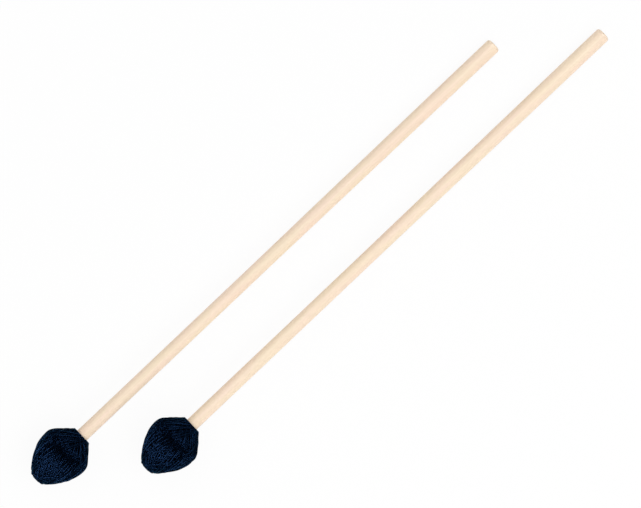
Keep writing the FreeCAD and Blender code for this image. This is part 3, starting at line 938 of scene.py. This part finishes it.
def write_layer_map(shell, stations, radii):
    """UV map of a turned body: millimetres along its outline, and turns round it."""
    runs = np.hypot(np.diff(stations), np.diff(radii))
    travelled = np.concatenate(([0.0], np.cumsum(runs)))
    found = {}
    layer = shell.loops.layers.uv.new("layer_map")
    for face in shell.faces:
        middle = face.calc_center_median()
        turn_middle = math.atan2(middle.z, middle.y) / (2 * math.pi)
        for loop in face.loops:
            place = loop.vert.co
            away = math.hypot(place.y, place.z)
            turn = math.atan2(place.z, place.y) / (2 * math.pi)
            if away < WELD:
                turn = turn_middle
            turn += round(turn_middle - turn)
            key = (round(place.x, 3), round(away, 2))
            if key not in found:
                gaps = np.hypot(stations - key[0], radii - key[1])
                found[key] = float(travelled[int(gaps.argmin())])
            loop[layer].uv = (found[key], turn)


# Front stitching and neck whipping

THREAD_SPACING = 0.5
THREAD_TURN_WEIGHT = 4.0
SPIRAL_TURNS = 3.6
SPIRAL_SAMPLES = 160
SPIRAL_START = 0.5
SPIRAL_DEPTH = 0.28
SPIRAL_PITCH_SHARE = 1.06
TAIL_SAMPLES = 6
TAIL_DEPTH = 1.6
STITCHES = 18
STITCH_SAMPLES = 9
STITCH_GAP = 0.1
STITCH_REACH = 5.9
STITCH_UNEVENNESS = 0.35
STITCH_UNEVEN_TURN = 2.4
STITCH_DEPTH = 0.62
STITCH_DIP = 1.0
NECK_TURNS = 6
NECK_SAMPLES = 40
NECK_PITCH_SHARE = 1.04
NECK_THREAD_GAP = 0.03


def stitched_line(outline):
    """Thread sewn over the front crown: a spiral round its middle, then stitches over
    the cords' crossings all the way round."""
    turned = np.linspace(0.0, SPIRAL_TURNS * 2 * math.pi, SPIRAL_SAMPLES)
    pitch = THREAD * SPIRAL_PITCH_SHARE
    middle = SPIRAL_START + pitch * turned / (2 * math.pi)
    spiral = np.column_stack((middle, turned, np.full(len(turned), SPIRAL_DEPTH)))
    spiral[:TAIL_SAMPLES, 2] = np.linspace(TAIL_DEPTH, SPIRAL_DEPTH, TAIL_SAMPLES)
    over = np.linspace(0.0, 1.0, STITCH_SAMPLES)
    arch = np.sin(over * math.pi)
    inside = middle[-1] + STITCH_GAP
    half = math.pi / STITCHES
    parts = [spiral]
    for stitch in range(STITCHES):
        start = turned[-1] + stitch * 2 * math.pi / STITCHES
        reach = STITCH_REACH + STITCH_UNEVENNESS * math.sin(stitch * STITCH_UNEVEN_TURN)
        run = (reach - inside) * over
        raised = STITCH_DEPTH - STITCH_DEPTH * arch ** 0.5
        buried = STITCH_DEPTH + STITCH_DIP * arch
        out = np.column_stack((inside + run, start + half * over, raised))
        back = np.column_stack((reach - run, start + half * (1 + over), buried))
        parts += [out, back[1:-1]]
    distance, angle, depth = np.vstack(parts).T
    line = outline.points_under(distance, angle, depth)
    return evenly_placed(line, THREAD_SPACING, THREAD_TURN_WEIGHT)


def whipped_line(outline, neck):
    """Thread wound round the neck in the eye of the rear crown."""
    turned = np.linspace(0.0, NECK_TURNS * 2 * math.pi, NECK_TURNS * NECK_SAMPLES)
    pitch = THREAD * NECK_PITCH_SHARE
    end = outline.stations.max() - THREAD / 2
    station = end - pitch * (NECK_TURNS - turned / (2 * math.pi))
    away = neck + THREAD / 2 + NECK_THREAD_GAP
    return np.column_stack((station, away * np.cos(turned), away * np.sin(turned)))


def thread_piece(name, mallet, line, node):
    thread = tube_piece(f"{name}_{mallet.number}", mallet, line, THREAD)
    set_material(thread, navy_thread)
    hand_over(thread, mallet, "thread", node)


# Both mallets

for mallet in mallets:
    outline = head_outline(mallet)
    outer_winding(mallet, outline)
    inner_layers(mallet, outline)
    thread_piece("front_stitching_thread", mallet, stitched_line(outline), "front_stitching")
    neck_line = whipped_line(outline, mallet.neck_radius)
    thread_piece("neck_whipping_thread", mallet, neck_line, "neck_whipping")
    finish_node(mallet, "shaft", birch_finish(mallet))
    finish_node(mallet, "core", core_rubber)
    finish_node(mallet, "core_sleeve", sleeve_rubber)
    for name in ("under_winding", "outer_winding", "front_stitching", "neck_whipping"):
        finish_node(mallet, name, plain_cord)


# Table, light and camera

# Places and lengths are in metres in the shared frame, the sensor's width in millimetres
TABLE_REACH = 4.0
TABLE_GLOW = 0.93
HORIZON_LIGHT = 0.38
OVERHEAD_LIGHT = 0.84
HEADS = (-0.2, 0, 0)
MIDDLE = (0, 0, 0)
VIEW_TURN = math.radians(43.48)
VIEW_HEIGHT = 4.0
VIEW_WIDTH = 0.4024
VIEW_RIGHT = 0.00031
VIEW_UP = 0.00152
VIEW_END = 50.0
SENSOR_WIDTH = 36.0
SHAFT_LEVEL = 0.009
PICTURE_RIGHT = Vector((math.cos(VIEW_TURN), -math.sin(VIEW_TURN), 0))
PICTURE_UP = Vector((math.sin(VIEW_TURN), math.cos(VIEW_TURN), 0))


def seen_as_background(tree):
    """1 for the rays that show the white background, straight or in a shine."""
    rays = tree.nodes.new("ShaderNodeLightPath")
    seen = maths(tree, "MAXIMUM", rays.outputs["Is Camera Ray"], rays.outputs["Is Glossy Ray"])
    return maths(tree, "MAXIMUM", seen, rays.outputs["Is Transmission Ray"])


def white_table():
    """Plain white table top that keeps the mallets' shadows."""
    board = bmesh.new()
    bmesh.ops.create_grid(board, x_segments=4, y_segments=4, size=TABLE_REACH)
    mesh = bpy.data.meshes.new("table_top")
    board.to_mesh(mesh)
    board.free()
    piece = bpy.data.objects.new("table_top", mesh)
    bpy.context.scene.collection.objects.link(piece)
    material, tree, surface = new_material("white_table")
    here = tree.nodes.new("ShaderNodeTexCoord").outputs["Object"]
    tone = blended(tree, noise(tree, here, scale=3.0), (0.9, 0.9, 0.9, 1), (0.92, 0.92, 0.92, 1))
    feed(tree, surface.inputs["Base Color"], tone)
    surface.inputs["Roughness"].default_value = 0.9
    surface.inputs["Specular IOR Level"].default_value = 0.0
    glow = tree.nodes.new("ShaderNodeEmission")
    glow.inputs["Color"].default_value = (1, 1, 1, 1)
    mix = tree.nodes.new("ShaderNodeMixShader")
    feed(tree, mix.inputs[0], times(tree, seen_as_background(tree), TABLE_GLOW))
    output = next(node for node in tree.nodes if node.type == "OUTPUT_MATERIAL")
    tree.links.new(surface.outputs["BSDF"], mix.inputs[1])
    tree.links.new(glow.outputs["Emission"], mix.inputs[2])
    tree.links.new(mix.outputs[0], output.inputs["Surface"])
    set_material(piece, material)


def pale_room():
    """White room, lit more from above than from the sides. Only shines see its dark
    ceiling, and the background is plain white."""
    world = bpy.data.worlds.new("pale_room")
    bpy.context.scene.world = world
    world.use_nodes = True
    tree = world.node_tree
    tree.nodes.clear()
    height = parts_of(tree, tree.nodes.new("ShaderNodeTexCoord").outputs["Generated"])["Z"]
    light = between(tree, height, 0.0, 0.9, to_low=HORIZON_LIGHT, to_high=OVERHEAD_LIGHT)
    seen = seen_as_background(tree)
    strength = maths(tree, "MULTIPLY_ADD", seen, maths(tree, "SUBTRACT", 1.0, light), light)
    shine = tree.nodes.new("ShaderNodeLightPath").outputs["Is Glossy Ray"]
    ceiling = times(tree, between(tree, height, 0.0, 0.3), shine)
    colour = blended(tree, ceiling, (1, 1, 1, 1), (0.015, 0.015, 0.015, 1))
    background = tree.nodes.new("ShaderNodeBackground")
    feed(tree, background.inputs["Color"], colour)
    tree.links.new(strength, background.inputs["Strength"])
    output = tree.nodes.new("ShaderNodeOutputWorld")
    tree.links.new(background.outputs[0], output.inputs["Surface"])


def softbox(name, place, aim, width, depth, watts, shine):
    """Lamp that gives either the soft light on the wood or only the shine on the cord."""
    lamp = bpy.data.lights.new(name, "AREA")
    lamp.shape = "RECTANGLE"
    lamp.size = width
    lamp.size_y = depth
    lamp.energy = watts
    holder = bpy.data.objects.new(name, lamp)
    bpy.context.scene.collection.objects.link(holder)
    holder.location = place
    holder.rotation_euler = (Vector(aim) - Vector(place)).to_track_quat("-Z", "Y").to_euler()
    holder.visible_glossy = shine
    holder.visible_diffuse = not shine


def overhead_camera():
    """Camera straight above, turned so that the mallets lie as photographed."""
    lens = bpy.data.cameras.new("overhead_camera")
    lens.type = "PERSP"
    lens.sensor_width = SENSOR_WIDTH
    lens.lens = lens.sensor_width * (VIEW_HEIGHT - SHAFT_LEVEL) / VIEW_WIDTH
    lens.clip_end = VIEW_END
    holder = bpy.data.objects.new("overhead_camera", lens)
    bpy.context.scene.collection.objects.link(holder)
    middle = PICTURE_RIGHT * VIEW_RIGHT + PICTURE_UP * VIEW_UP
    turned = Matrix((PICTURE_RIGHT, PICTURE_UP, Vector((0, 0, 1)))).transposed().to_4x4()
    holder.matrix_world = Matrix.Translation(middle + Vector((0, 0, VIEW_HEIGHT))) @ turned
    bpy.context.scene.camera = holder


white_table()
pale_room()
softbox("softbox_front", (-1.2, 0.0, 0.86), HEADS, width=0.7, depth=0.45, watts=42.0, shine=True)
softbox("softbox_butts", (0.9, 0.0, 1.0), HEADS, width=0.7, depth=0.45, watts=28.0, shine=True)
softbox("softbox_side", (0.1, -0.8, 1.25), MIDDLE, width=1.8, depth=1.0, watts=9.5, shine=False)
softbox("softbox_fill", (0.1, 1.4, 0.9), MIDDLE, width=2.0, depth=1.2, watts=2.0, shine=False)
overhead_camera()
bpy.context.scene.view_settings.view_transform = "Standard"
